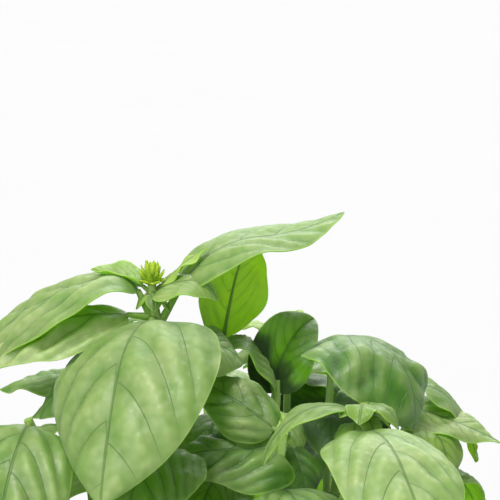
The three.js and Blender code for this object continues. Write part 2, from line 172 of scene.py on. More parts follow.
def mottled(tree, spot, size):
    """The clouds and the specks of the mottling group at that size."""
    return place(tree, "Group", {"Coordinates": spot, "Size": size}, node_tree=mottling).outputs


def mix(tree, share, first, second):
    """A colour mix. share is a number or a socket, and each colour is a tuple or a socket."""
    first, second = [(*colour, 1.0) if isinstance(colour, tuple) else colour for colour in (first, second)]
    return place(tree, "Mix", {0: share, 6: first, 7: second}, data_type="RGBA").outputs[2]


def cloudy(tree, clouds, specks, share, darker, paler, speck):
    """Two colours in clouds, with a share of a third one in specks over them."""
    return mix(tree, maths(tree, "MULTIPLY", specks, share), mix(tree, clouds, darker, paler), speck)


def bump(tree, height, depth, before=None):
    """A Bump node of that depth in metres, after another one if it is given."""
    return place(tree, "Bump", {"Distance": depth, "Height": height, "Normal": before}).outputs[0]


def let_light_through(tree, shader, glow, share, normal=None):
    """Mixes a share of Translucent shader of the glow colour into the shader, as the material's surface."""
    through = place(tree, "BsdfTranslucent", {"Color": glow, "Normal": normal})
    blend = place(tree, "MixShader", {0: share, 1: shader.outputs[0], 2: through.outputs[0]})
    connect(tree, tree.nodes["Material Output"], {"Surface": blend.outputs[0]})


print("helpers for materials: material, mottled, mix, cloudy, bump and let_light_through")

# %% [markdown]
# ## The leaf finish
# A basil leaf is thin. Part of the light that falls on it goes through, so a leaf with the light behind it
# glows yellow-green, while the lit upper side is a paler, greyer green with a waxy shine, part of which is a
# painted sheen in its colour. That is a Principled shader mixed with a Translucent one. A second vector on
# the blades, named "leaf", holds the tone at that spot, whether the spot lies on the paler underside, and
# how young the leaf is. The tone is the leaf's own with painted light in it: a painted sheen on each bulge
# and painted shade in the grooves. Below zero it is painted deep shade, as for a leaf inside the bunch.

# %% Colours of a leaf
# The pale end of the upper colours is the leaf's own pale green, greyed by a painted waxy sheen.
UPPER = dict(dark=(0.028, 0.088, 0.004), pale=(0.455, 0.500, 0.220), dimple_shade=(0.050, 0.145, 0.006),
             vein=(0.055, 0.160, 0.008), young=(0.48, 0.66, 0.10), margin=(0.46, 0.64, 0.13),
             painted_shade=(0.024, 0.072, 0.005))
LOWER = dict(dark=(0.14, 0.28, 0.012), pale=(0.31, 0.47, 0.055), vein=(0.42, 0.56, 0.15))
GLOW = dict(full_grown=(0.58, 0.94, 0.03), young=(0.84, 0.98, 0.12), cloud=(0.36, 0.68, 0.02),
            vein=(0.26, 0.52, 0.01), painted_shade=(0.030, 0.100, 0.004))
print("leaf colours:", ", ".join(UPPER))

# %% The leaf material
def make_leaf_finish():
    new, tree, shader, spot = material("basil leaf")
    clouds, specks = mottled(tree, spot, 62.0)
    veins, leaf, spacing = [place(tree, "Attribute", {}, attribute_name=title).outputs
                            for title in ("veins", "leaf", "spacing")]
    lines = place(tree, "Group", {"Veins": veins["Vector"], "Spacing": spacing["Fac"]}, node_tree=leaf_veins)
    tone, under, young = place(tree, "SeparateXYZ", {0: leaf["Vector"]}).outputs
    # Painted shade: a tone below -0.4 makes the leaf, its glow and its shine deep and dark, as for a leaf
    # inside the bunch.
    painted_shade = fade(tree, tone, -1.0, -0.4, 0.85, 0.0)
    cells = place(tree, "TexVoronoi", {"Scale": 330.0, "Vector": spot}, feature="SMOOTH_F1")

    # The share mixes the leaf's own tone and mottling with painted light: a painted sheen between the side
    # veins, where the skin bulges, and painted shade beside them.
    shade = maths(tree, "ADD", maths(tree, "MULTIPLY", tone, 0.42), maths(tree, "MULTIPLY", clouds, 0.30))
    shade = maths(tree, "ADD", shade, maths(tree, "MULTIPLY", lines.outputs["Cells"], 0.18), clamp=True)
    upper = mix(tree, shade, UPPER["dark"], UPPER["pale"])
    # Painted shade: where the fine dimples of the lumps bump sink in, the upper side is coloured darker.
    painted_dimple_shade = fade(tree, cells.outputs["Distance"], 0.25, 0.75, 0.0, 0.35)
    upper = mix(tree, painted_dimple_shade, upper, UPPER["dimple_shade"])
    colour = mix(tree, under, upper, mix(tree, shade, LOWER["dark"], LOWER["pale"]))
    colour = mix(tree, young, colour, UPPER["young"])
    # On the upper side the vein colour is darker: partly the veins' own greener colour, partly painted shade
    # in their grooves.
    vein = maths(tree, "MULTIPLY", lines.outputs["Vein"], 0.68)
    colour = mix(tree, vein, colour, mix(tree, under, UPPER["vein"], LOWER["vein"]))
    colour = mix(tree, maths(tree, "MULTIPLY", lines.outputs["Margin"], 0.45), colour, UPPER["margin"])
    colour = mix(tree, painted_shade, colour, UPPER["painted_shade"])

    rough = fade(tree, specks, 0.0, 1.0, 0.44, 0.56)
    rough = maths(tree, "ADD", rough, maths(tree, "MULTIPLY", under, 0.2))
    rough = maths(tree, "ADD", rough, maths(tree, "MULTIPLY", painted_shade, 0.25))
    lumps = bump(tree, cells.outputs["Distance"], -0.0004)
    ridge = maths(tree, "MULTIPLY", lines.outputs["Vein"], fade(tree, under, 0.0, 1.0, -1.0, 1.0))
    normal = bump(tree, ridge, 0.00025, lumps)
    connect(tree, shader, {"Base Color": colour, "Roughness": rough, "Normal": normal,
                           "Specular IOR Level": 0.85, "Sheen Weight": 0.15, "Sheen Roughness": 0.45})

    glow = mix(tree, young, GLOW["full_grown"], GLOW["young"])
    glow = mix(tree, maths(tree, "MULTIPLY", clouds, 0.5), glow, GLOW["cloud"])
    glow = mix(tree, vein, glow, GLOW["vein"])
    glow = mix(tree, painted_shade, glow, GLOW["painted_shade"])
    let_light_through(tree, shader, glow, 0.47, normal)
    return new


leaf_finish = make_leaf_finish()

# %% [markdown]
# ## The stem finish
# Young basil stems are pale green, smooth and a little glassy, with faint lengthwise streaks. Streaks come
# from noise that is stretched along the height.

# %% The stem material
def make_stem_finish():
    new, tree, shader, spot = material("basil stem")
    stretch = place(tree, "Mapping", {"Scale": (1.0, 1.0, 0.12), "Vector": spot})
    streaks, _ = mottled(tree, stretch.outputs[0], 260.0)
    clouds, _ = mottled(tree, spot, 40.0)
    colour = cloudy(tree, clouds, streaks, 0.35, (0.20, 0.33, 0.07), (0.33, 0.47, 0.13), (0.14, 0.27, 0.04))
    connect(tree, shader, {"Base Color": colour, "Roughness": fade(tree, streaks, 0.0, 1.0, 0.34, 0.5),
                           "Normal": bump(tree, streaks, 0.0002), "Subsurface Weight": 0.12,
                           "Subsurface Scale": 0.002})
    return new


stem_finish = make_stem_finish()

# %% [markdown]
# ## The flower head finish
# The bracts of the young flower head are the yellowest thing on the plant. They are small and crowded, so
# the mottling is enough to tell one from the next, and they glow with the light behind them.

# %% The bract material
def make_bract_finish():
    new, tree, shader, spot = material("flower head bracts")
    clouds, specks = mottled(tree, spot, 330.0)
    colour = cloudy(tree, clouds, specks, 0.35, (0.26, 0.46, 0.03), (0.56, 0.70, 0.10), (0.12, 0.27, 0.02))
    connect(tree, shader, {"Base Color": colour, "Roughness": fade(tree, specks, 0.0, 1.0, 0.4, 0.55),
                           "Normal": bump(tree, specks, 0.0001)})
    glow = mix(tree, clouds, (0.72, 0.90, 0.06), (0.90, 0.97, 0.15))
    let_light_through(tree, shader, glow, 0.5)
    return new


bract_finish = make_bract_finish()

# %% [markdown]
# ## The clay finish
# Fired clay is matt and dry. Its orange-brown is cloudy, it shows fine turning lines from the wheel, and
# salts from the water leave a pale bloom that gathers on the rim and low on the wall.

# %% The clay material
def make_clay_finish():
    new, tree, shader, spot = material("fired clay")
    clouds, specks = mottled(tree, spot, 28.0)
    grit, fine_grit = mottled(tree, spot, 420.0)
    height = place(tree, "SeparateXYZ", {0: spot}).outputs["Z"]
    colour = cloudy(tree, clouds, grit, 0.25, (0.43, 0.155, 0.062), (0.56, 0.235, 0.105), (0.32, 0.10, 0.04))
    rim = fade(tree, height, 0.096, 0.114, 0.0, 0.75)
    foot = fade(tree, height, 0.002, 0.030, 0.6, 0.0)
    salt = maths(tree, "MULTIPLY", maths(tree, "MAXIMUM", rim, foot), specks)
    colour = mix(tree, salt, colour, (0.66, 0.50, 0.40))
    lines = place(tree, "TexWave", {"Scale": 120.0, "Distortion": 1.5, "Detail": 2.0, "Vector": spot},
                  bands_direction="Z")
    turned = bump(tree, lines.outputs["Fac"], 0.00012)
    connect(tree, shader, {"Base Color": colour, "Roughness": fade(tree, fine_grit, 0.0, 1.0, 0.78, 0.95),
                           "Normal": bump(tree, grit, 0.00018, turned)})
    return new


clay_finish = make_clay_finish()

# %% [markdown]
# ## The soil finishes
# Potting soil is dark, damp peat with lighter fibres in it and a few white grains of perlite. The level
# itself and the loose crumbs share one finish. Only the perlite needs another.

# %% The soil and perlite materials
def make_soil_finish():
    new, tree, shader, spot = material("potting soil")
    clouds, specks = mottled(tree, spot, 120.0)
    fibres, _ = mottled(tree, spot, 700.0)
    wet, dry, fibre = (0.020, 0.013, 0.008), (0.062, 0.040, 0.024), (0.12, 0.08, 0.05)
    colour = cloudy(tree, clouds, fibres, 0.35, wet, dry, fibre)
    connect(tree, shader, {"Base Color": colour, "Roughness": fade(tree, specks, 0.0, 1.0, 0.7, 0.98),
                           "Normal": bump(tree, fibres, 0.0006)})
    return new


def make_perlite_finish():
    new, tree, shader, spot = material("perlite")
    clouds, specks = mottled(tree, spot, 600.0)
    colour = mix(tree, clouds, (0.52, 0.50, 0.46), (0.74, 0.73, 0.70))
    connect(tree, shader, {"Base Color": colour, "Roughness": fade(tree, specks, 0.0, 1.0, 0.8, 0.95),
                           "Normal": bump(tree, clouds, 0.0003)})
    return new


soil_finish, perlite_finish = make_soil_finish(), make_perlite_finish()

# %% [markdown]
# ## From a bmesh to a piece
# All pieces are worked in millimetres and shrunk to metres at the end, so the numbers can be read like
# those on a drawing. One helper turns a bmesh into an object, hides the solid that it stands for, and hangs
# it on the one body of the pot and plant.

# %% The piece helper
def link_object(name, data):
    """A new object of that data in the scene."""
    item = bpy.data.objects.new(name, data)
    bpy.context.scene.collection.objects.link(item)
    return item


def make_object(bm, name, finishes):
    """Turns the bmesh into an object with those finishes, and frees the bmesh."""
    mesh = bpy.data.meshes.new(name)
    bm.to_mesh(mesh)
    bm.free()
    for finish in finishes:
        mesh.materials.append(finish)
    return link_object(name, mesh)


def finish_piece(bm, name, finishes, node=None):
    """Makes the piece, which stands for that node of the solids if one is given."""
    bmesh.ops.scale(bm, vec=(MM, MM, MM), verts=bm.verts)
    piece = make_object(bm, name, finishes)
    if node:
        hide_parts(node)
    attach(piece, "root")
    piece.data.calc_loop_triangles()
    print(f"{name}: {len(piece.data.loop_triangles)} triangles")


print("helpers for pieces: link_object, make_object and finish_piece")

# %% [markdown]
# ## The pot
# The pot is a turned thing, so half its outline goes round the axis once with the spin operator. The
# outline is drawn through the corners of the solid pot, and each corner is rounded off by a short curve,
# as wet clay is under the potter's fingers. The spin must merge its ends, so the wall closes. A slow and a
# quick noise then draw it in here and there, never out, so it keeps within the width of the solid pot.

# %% The outline of the pot
pot_corners = [  # radius, height, how far the corner is rounded
    (6.0, 0.0, 0.8), (42.5, 0.0, 2.0), (57.0, 87.0, 0.8), (61.5, 87.0, 1.6), (65.0, 115.0, 2.4),
    (51.0, 115.0, 2.4), (36.5, 8.0, 3.0), (6.0, 8.0, 0.8)]


def rounded_outline(corners, steps=4):
    """The closed outline with every corner swept by a short curve between its two sides."""
    spots = [Vector((radius, 0, height)) for radius, height, _ in corners]
    points = []
    for i, (corner, (_, _, cut)) in enumerate(zip(spots, corners)):
        before, after = spots[i - 1], spots[(i + 1) % len(spots)]
        first = corner + (before - corner).normalized() * cut
        last = corner + (after - corner).normalized() * cut
        for k in range(steps + 1):
            u = k / steps
            points.append((1 - u) ** 2 * first + 2 * u * (1 - u) * corner + u * u * last)
    return points


pot_outline = rounded_outline(pot_corners)
print("the outline has", len(pot_outline), "points")

# %% Spin the pot
SLOW_WOBBLE, QUICK_WOBBLE = (0.02, 0.35), (0.09, 0.12)  # waves per millimetre, depth


def make_pot():
    bm = bmesh.new()
    verts = [bm.verts.new(point) for point in pot_outline]
    edges = [bm.edges.new((verts[i - 1], verts[i])) for i in range(len(verts))]
    bmesh.ops.spin(bm, geom=verts + edges, cent=(0, 0, 0), axis=(0, 0, 1), angle=2 * pi, steps=96,
                   use_merge=True)
    bmesh.ops.remove_doubles(bm, verts=bm.verts, dist=0.001)
    bmesh.ops.recalc_face_normals(bm, faces=bm.faces)
    for vert in bm.verts:
        wobble = sum(noise.noise(vert.co * pace) * depth for pace, depth in (SLOW_WOBBLE, QUICK_WOBBLE))
        vert.co -= Vector((vert.co.x, vert.co.y, 0)).normalized() * abs(wobble)
    for face in bm.faces:
        face.smooth = True
    finish_piece(bm, "clay_pot", [clay_finish], "pot")


make_pot()

# %% [markdown]
# ## The soil
# The solid soil keeps its place and gets the soil finish. On top lie loose crumbs of peat, each a small
# ball of a few faces knocked out of round, with a grain of perlite here and there. Seeded random numbers
# scatter them, and a crumb that would sit in a stem is thrown again. The level is a very low dome.

# %% Dress the level and list the stems
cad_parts["soil"].data.materials.clear()
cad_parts["soil"].data.materials.append(soil_finish)
SOIL_LEVEL, SOIL_DOME, SOIL_RADIUS, CRUMB_CIRCLE, STEM_CLEARANCE = 103.2, 1.6, 52, 49.0, 3.6
stem_roots = [(-16, -10), (-2, 16), (10, 6), (26, -10), (6, -24), (-36, -14), (-26, 18), (18, 30),
              (-4, 40), (29, 31), (32, 12), (38, 18)]
print(len(stem_roots), "stems stand in the soil")

# %% Scatter the crumbs
PROUD, LUMPINESS, GRAIN_FORM = 0.15, 0.7, (1.25, 1.0, 0.75)  # all are shares of a grain's radius


def scatter(name, count, smallest, largest, finish, seed):
    """Grains with radii from smallest to largest, spread evenly over the level and half sunk in it."""
    dice = random.Random(seed)
    bm = bmesh.new()
    made = 0
    while made < count:
        reach, turn = CRUMB_CIRCLE * dice.random() ** 0.5, dice.uniform(0, 2 * pi)
        size = dice.uniform(smallest, largest)
        middle = Vector((reach * cos(turn), reach * sin(turn), 0))
        middle.z = SOIL_LEVEL + SOIL_DOME * cos(reach / SOIL_RADIUS * pi / 2) + size * PROUD
        if any((middle.xy - Vector(root)).length < size + STEM_CLEARANCE for root in stem_roots):
            continue
        turned = Quaternion((dice.random(), dice.random(), dice.random()), dice.uniform(0, 6)).to_matrix()
        ball = bmesh.ops.create_icosphere(bm, subdivisions=1, radius=size)["verts"]
        for vert in ball:
            lump = 1 + LUMPINESS * noise.noise(vert.co * 0.9 / size + middle)
            vert.co = turned @ Vector([a * b for a, b in zip(vert.co, GRAIN_FORM)]) * lump + middle
        made += 1
    finish_piece(bm, name, [finish])


scatter("soil_crumbs", 900, 0.7, 2.2, soil_finish, seed=11)
scatter("perlite_grains", 40, 0.7, 1.6, perlite_finish, seed=23)

# %% [markdown]
# ## How a basil shoot grows
# A stem leaves the soil straight up and leans out more and more towards its top. Leaves sit on it at
# their own heights. Each leaf starts with a stalk that points along a heading and a rise. From there the
# midrib arches down, and the blade hangs on the midrib. A few numbers per leaf say all that, so the same
# rule draws every leaf, large or small. Headings are in degrees, with 0 to the right of the viewer, 90
# away from the viewer, and -90 towards the viewer.

# %% The line of a stem
STEM_START, STEM_SEAT, STEM_LEAN = 104.0, 92.3, 1.4


def stem_point(root, top, height):
    """The middle of the stem at that height. It leaves the upright slowly, and faster towards its top."""
    climb = max((height - STEM_START) / (top[2] - STEM_START), 0) ** STEM_LEAN
    return Vector((root[0] + (top[0] - root[0]) * climb, root[1] + (top[1] - root[1]) * climb, height))


halfway_up = stem_point((0, 0), (20, 0, 240), (STEM_START + 240) / 2)
print("a stem that leans out 20 mm has leaned", round(halfway_up.x, 1), "mm halfway up")

# %% [markdown]
# Only what is unusual is written with each leaf, in degrees and millimetres. The midrib bends down by the
# first angle of `bend` up to the `knee`, a share of its length, and by the second one after it. It can
# `sweep` sideways and `twist`, and the leaf can `roll` over. Its halves stand up by `fold` at the midrib
# and turn down by `cup` towards the margin. `shape` holds two powers of the outline, `lobe` draws it back
# round the stalk, and `wave` moves the margin up and down. `quilt` and `lumps` raise the skin between the
# `pairs` of side veins. Without a `tone` one is drawn at random, and a tone below zero is painted shade.
# `young` turns the leaf yellow-green, and `foot` makes it paler or deeper near its stalk, as painted light
# or shade.

# %% What a leaf is given by
USUAL = dict(stalk=8, bend=(50, 30), knee=0.5, roll=0, sweep=0, twist=0, cup=25, fold=0,
             shape=(0.55, 0.85), lobe=0.25, wave=1.5, phase=0.0, quilt=1.0, lumps=1.0, pairs=6,
             tone=None, young=0.0, foot=0.0)


def leaf_at(height, heading, rise, length, width, **unusual):
    """A leaf on the stem at that height. All of it is usual apart from what is named."""
    return dict(USUAL, at=height, heading=heading, rise=rise, length=length, width=width, **unusual)


print("a usual leaf:", USUAL)

# %% The line of a midrib
def leaf_steps(count):
    """Shares of the midrib from 0 to 1, closer together at both ends, where the outline turns fast."""
    return [i / count - sin(2 * pi * i / count) / (4 * pi) for i in range(count + 1)]


def midrib_turn(leaf, share, stride):
    """How far the midrib bends down over one stride from that share of its length, in radians."""
    knee, (before, after) = leaf["knee"], leaf["bend"]
    inner = min(max(knee - share, 0), stride)
    return radians(before * inner / knee + after * (stride - inner) / (1 - knee))


def midrib(base, leaf, steps):
    """For each step the point on the midrib and the directions along it, to its left and up from it."""
    heading, rise = radians(leaf["heading"]), radians(leaf["rise"])
    along = Vector((cos(rise) * cos(heading), cos(rise) * sin(heading), sin(rise)))
    side = Vector((-sin(heading), cos(heading), 0))
    side.rotate(Quaternion(along, radians(leaf["roll"])))
    point = base + along * leaf["stalk"]
    line = []
    for i, share in enumerate(steps):
        line.append((point.copy(), along.copy(), side.copy(), along.cross(side)))
        if i + 1 == len(steps):
            break
        stride = steps[i + 1] - share
        turn = midrib_turn(leaf, share, stride)
        halfway = along.copy()
        halfway.rotate(Quaternion(side, turn / 2))
        point += halfway * leaf["length"] * stride
        along.rotate(Quaternion(side, turn))
        sweep = Quaternion(along.cross(side), radians(leaf["sweep"]) * stride)
        along.rotate(sweep)
        side.rotate(sweep)
        side.rotate(Quaternion(along, radians(leaf["twist"]) * stride))
    return line


trial_leaf = leaf_at(0, heading=0, rise=20, length=50, width=35)
tip = midrib(Vector(), trial_leaf, leaf_steps(20))[-1][0]
print("a usual leaf of 50 mm ends", round(tip.x, 1), "mm out and", round(tip.z, 1), "mm up")

# %% [markdown]
# ## A leaf blade
# The blade starts as a flat grid. Each point of the grid knows how far along and how far across the leaf
# it is, and moves to its place on the curved blade. The faces are turned over so that they look up from
# the upper side. Then the skin is quilted: side veins lie in grooves and the tissue between them bulges.
# At last the sheet is given its thickness with the solidify operator, which adds the underside.

# %% Where a point of the blade lies
MARGIN_WAVES, OTHER_MARGIN = 2, 2.1  # waves along each margin, and how far the right one is ahead


def blade_half(leaf, share):
    """Half the width of the flat blade at that share of its length."""
    if not 0 < share < 1:
        return 0.0
    a, b = leaf["shape"]
    widest = (a / (a + b)) ** a * (b / (a + b)) ** b
    return 0.5 * leaf["width"] * share ** a * (1 - share) ** b / widest


def blade_point(leaf, spine, share, t):
    """The place of the point that lies t of the way out, from -1 at the right margin to 1 at the left."""
    point, along, side, up = spine
    half, x = blade_half(leaf, share), abs(t)
    fold, cup = radians(leaf["fold"]), radians(leaf["cup"])
    out = (sin(fold) - sin(fold - cup * x)) / cup if cup else x * cos(fold)
    lift = (cos(fold - cup * x) - cos(fold)) / cup if cup else x * sin(fold)
    ripple = sin(2 * pi * MARGIN_WAVES * share + leaf["phase"] + (0 if t > 0 else OTHER_MARGIN))
    lift = lift * half + leaf["wave"] * x * x * ripple * sin(pi * share)
    back = leaf["lobe"] * half * x * x * (1 - share) ** 3
    return point + side * (out * half * (-1 if t < 0 else 1)) + up * lift - along * back


print("a quarter of the way along it is", round(2 * blade_half(trial_leaf, 0.25), 1), "mm wide")

# %% Where the veins run and how high the skin stands
VEIN_FORWARD, VEIN_CURVE, VEIN_OFFSET = 0.5, 1.5, 0.38
QUILT_HEIGHT, MIDRIB_VALLEY = 0.18, 3.0


def vein_phase(leaf, share, t):
    """A number that is whole on every side vein. They leave the midrib forwards and curve to the tip."""
    x, half = blade_half(leaf, share) * abs(t), leaf["width"] / 2
    forward = VEIN_FORWARD * x + VEIN_CURVE * x * x / half
    offset = VEIN_OFFSET if t < 0 else 0.0
    return (share * leaf["length"] - forward) * leaf["pairs"] / leaf["length"] + offset


def quilting(leaf, share, t):
    """How far the skin stands proud, in millimetres: low along the veins and high between them."""
    x, phase = blade_half(leaf, share) * abs(t), vein_phase(leaf, share, t)
    off = abs(phase - round(phase))
    spacing = leaf["length"] / leaf["pairs"]
    beside_midrib = 1 - exp(-(x / MIDRIB_VALLEY) ** 2)
    bulge = sin(pi * off) ** 1.3 * beside_midrib * (1 - abs(t) ** 4) * sin(pi * share) ** 0.5
    return QUILT_HEIGHT * spacing * leaf["quilt"] * bulge


bulges = [quilting(trial_leaf, share, 0.5) for share in leaf_steps(99)]
print("its skin stands", round(max(bulges), 2), "mm proud between the veins")

# %% How fine and how lumpy a blade is, and what it carries
BLADE_THICKNESS, ROW_LENGTH, COLUMN_WIDTH = 0.42, 1.15, 2.5
FEWEST_ROWS, MOST_ROWS, FEWEST_COLUMNS, MOST_COLUMNS = 6, 84, 2, 22  # columns on each half
LUMP_HEIGHT, LUMP_PACE, LUMP_VALLEY, FULL_WIDTH = 1.3, 0.11, 4, 40  # a leaf of that width has full lumps
# Painted sheen and shade: bulges and lumps are coloured paler and the grooves darker.
PAINTED_BULGE_SHEEN, BULGE_MIDDLE, PAINTED_LUMP_SHEEN = 0.12, 0.8, 0.55  # how much paler bulges and lumps are


def blade_rows(leaf):
    """How many rows of faces a blade gets: one for each millimetre or so, and few on a tiny bract."""
    return min(max(round(leaf["length"] / ROW_LENGTH), FEWEST_ROWS), MOST_ROWS)


def blade_layers(bm):
    """The three things that the leaf finish reads at every point of a blade."""
    layers = bm.verts.layers
    return layers.float_vector.new("veins"), layers.float_vector.new("leaf"), layers.float.new("spacing")


print("its blade gets", blade_rows(trial_leaf), "rows of faces")

# %% Bend a grid into a blade
def add_blade(bm, layers, base, leaf, dice):
    """The blade of the leaf whose stalk starts at the base, with its relief and all that it carries."""
    veins, looks, spacing = layers
    rows = blade_rows(leaf)
    columns = 2 * min(max(round(leaf["width"] / COLUMN_WIDTH), FEWEST_COLUMNS), MOST_COLUMNS)
    steps = leaf_steps(rows)
    line = midrib(base, leaf, steps)
    tone = leaf["tone"] if leaf["tone"] is not None else dice.uniform(0.1, 0.9)
    shift = Vector((dice.uniform(0, 99), dice.uniform(0, 99), 0))
    lumps = LUMP_HEIGHT * leaf["lumps"] * min(leaf["width"] / FULL_WIDTH, 1)
    grid = bmesh.ops.create_grid(bm, x_segments=columns, y_segments=rows, size=1.0)["verts"]
    raised = {}
    for vert in grid:
        t, i = vert.co.x, round((vert.co.y + 1) / 2 * rows)
        share, half = steps[i], blade_half(leaf, steps[i])
        uneven = noise.noise(Vector((half * t, share * leaf["length"], 0)) * LUMP_PACE + shift)
        off_midrib = 1 - exp(-(half * t / LUMP_VALLEY) ** 2)
        bulge = quilting(leaf, share, t)
        raised[vert] = bulge + lumps * uneven * off_midrib * sin(pi * share)
        vert[veins] = (half * t, vein_phase(leaf, share, t), half * (1 - abs(t)))
        # The leaf's own tone gets a painted sheen on bulges and lumps and painted shade in the grooves.
        painted_sheen_and_shade = PAINTED_BULGE_SHEEN * (bulge - BULGE_MIDDLE) + PAINTED_LUMP_SHEEN * leaf["lumps"] * uneven * off_midrib
        # A foot below zero adds painted shade near the stalk.
        painted_sheen_and_shade += leaf["foot"] * (1 - share) ** 2
        vert[looks] = (tone + painted_sheen_and_shade, 0.0, leaf["young"])
        vert[spacing] = leaf["length"] / leaf["pairs"]
        vert.co = blade_point(leaf, line[i], share, t)
    faces = list({face for vert in grid for face in vert.link_faces})
    bmesh.ops.reverse_faces(bm, faces=faces)
    for face in faces:
        face.normal_update()
    for vert in grid:
        vert.normal_update()
        vert.co += vert.normal * raised[vert]
    thicken(bm, grid, faces, looks)


def thicken(bm, sheet, faces, looks):
    """Closes both ends, where a whole row meets in one point, and gives the sheet its underside."""
    bmesh.ops.remove_doubles(bm, verts=sheet, dist=0.0005)
    upper = [vert for vert in sheet if vert.is_valid]
    faces = [face for face in faces if face.is_valid]
    known = set(bm.verts)
    bmesh.ops.solidify(bm, geom=faces, thickness=BLADE_THICKNESS)
    under = [vert for vert in bm.verts if vert not in known]
    for vert in under:
        tone, _, young = vert[looks]
        vert[looks] = (tone, 1.0, young)
    sides = set(upper)
    for face in {face for vert in upper + under for face in vert.link_faces}:
        face.smooth = True
        if 0 < sum(vert in sides for vert in face.verts) < len(face.verts):
            for edge in face.edges:
                if len({vert in sides for vert in edge.verts}) == 1:
                    edge.smooth = False


trial = bmesh.new()
add_blade(trial, blade_layers(trial), Vector(), trial_leaf, random.Random(0))
print("with its underside that makes", len(trial.faces), "faces")
trial.free()

# %% [markdown]
# ## Stems and stalks
# A tube is a circle that is extruded from point to point along a line. The stem of basil is square with
# rounded edges and swells a little where larger leaves sit. A leaf stalk is round, and it runs on under
# the blade as the raised midrib, thinner and thinner towards the tip.

# %% Extrude a tube along a line
def places_along(points, radii):
    """A placing matrix for each ring, turned along the line without any twist."""
    aside, places = None, []
    for i, point in enumerate(points):
        ahead = (points[min(i + 1, len(points) - 1)] - points[max(i - 1, 0)]).normalized()
        aside = Vector((1, 0, 0)) - ahead * ahead.x if aside is None else aside - ahead * aside.dot(ahead)
        aside = aside.normalized() if aside.length > 1e-6 else ahead.orthogonal().normalized()
        third = ahead.cross(aside)
        turned = Matrix((aside, third, ahead)).transposed().to_4x4()
        places.append(Matrix.Translation(point) @ turned @ Matrix.Diagonal((radii[i], radii[i], 1, 1)))
    return places


def add_tube(bm, points, radii, sides, square=0.0, finish=1):
    """A closed tube. Its section goes from round towards square, and it gets that finish of the piece."""
    places = places_along(points, radii)
    ring = bmesh.ops.create_circle(bm, cap_ends=True, segments=sides, radius=1.0)["verts"]
    bottom = ring[0].link_faces[0]
    for vert in ring:
        vert.co *= 1 + square * (1 - 2 * (vert.co.x ** 2 - vert.co.y ** 2) ** 2)
    bmesh.ops.transform(bm, matrix=places[0], verts=ring)
    skin = {bottom}
    edges = list(bottom.edges)
    for before, after in zip(places, places[1:]):
        grown = bmesh.ops.extrude_edge_only(bm, edges=edges)["geom"]
        ring = [item for item in grown if isinstance(item, bmesh.types.BMVert)]
        edges = [edge for edge in {edge for vert in ring for edge in vert.link_edges}
                 if all(vert in ring for vert in edge.verts)]
        skin |= {item for item in grown if isinstance(item, bmesh.types.BMFace)}
        bmesh.ops.transform(bm, matrix=after @ before.inverted(), verts=ring)
    skin |= set(bmesh.ops.edgeloop_fill(bm, edges=edges)["faces"])
    bmesh.ops.recalc_face_normals(bm, faces=list(skin))
    for face in skin:
        face.material_index = finish
        face.smooth = len(face.verts) == 4


trial = bmesh.new()
add_tube(trial, [Vector((0, 0, height)) for height in (0, 10, 20)], [2.0, 2.0, 1.0], 8)
print("a tube of three rings with eight sides has", len(trial.faces), "faces")
trial.free()

# %% Stem and stalks
STEM_RINGS, STALK_RINGS, MIDRIB_RINGS = 44, 5, 14
SWELLING, SWELLING_REACH, MOST_SWOLLEN = 0.28, 2.6, 1.3
STEM_SIDES, STEM_SQUARE, STALK_SIDES, MIDRIB_GAP, MIDRIB_END = 16, 0.13, 8, 0.15, 0.9
STEM_FOOT, STEM_TAPER = 1.02, 0.34  # shares of its radius: what it starts with, and what it loses
STALK_LEAST, STALK_GROWTH = 0.72, 0.009  # radius of a stalk, and more for each millimetre of leaf
STALK_FOOT, STALK_TAPER, MIDRIB_FOOT, MIDRIB_TAPER = 1.25, 0.5, 0.75, 0.72  # shares of that radius


def add_stem(bm, root, top, radius, nodes):
    """The square stem, thinner towards the top and a little swollen where leaves sit."""
    heights = [STEM_SEAT + (top[2] - STEM_SEAT) * i / STEM_RINGS for i in range(STEM_RINGS + 1)]
    radii = []
    for i, height in enumerate(heights):
        swell = 1 + SWELLING * sum(exp(-((height - node) / SWELLING_REACH) ** 2) for node in nodes)
        radii.append(radius * (STEM_FOOT - STEM_TAPER * i / STEM_RINGS) * min(swell, MOST_SWOLLEN))
    points = [stem_point(root, top, height) for height in heights]
    add_tube(bm, points, radii, STEM_SIDES, square=STEM_SQUARE)


def add_stalk(bm, base, leaf, line, steps):
    """The leaf stalk, from the middle of the stem to the blade, and on under it as the midrib."""
    thick, start = STALK_LEAST + STALK_GROWTH * leaf["length"], line[0][0]
    points = [base.lerp(start, i / STALK_RINGS) for i in range(STALK_RINGS + 1)]
    radii = [thick * (STALK_FOOT - STALK_TAPER * i / STALK_RINGS) for i in range(STALK_RINGS + 1)]
    for share, (point, _, _, up) in list(zip(steps, line))[2::max(len(line) // MIDRIB_RINGS, 1)]:
        if share > MIDRIB_END:
            break
        radii.append(thick * (MIDRIB_FOOT - MIDRIB_TAPER * share))
        points.append(point - up * (radii[-1] + MIDRIB_GAP))
    add_tube(bm, points, radii, STALK_SIDES, finish=0)


trial = bmesh.new()
add_stem(trial, (0, 0), (20, 0, 240), 2.0, {200, 230})
print("a stem of", STEM_RINGS, "rings has", len(trial.faces), "faces")
trial.free()

# %% Grow a whole shoot
SWELLING_LEAF = 30  # only a leaf longer than this makes the stem swell


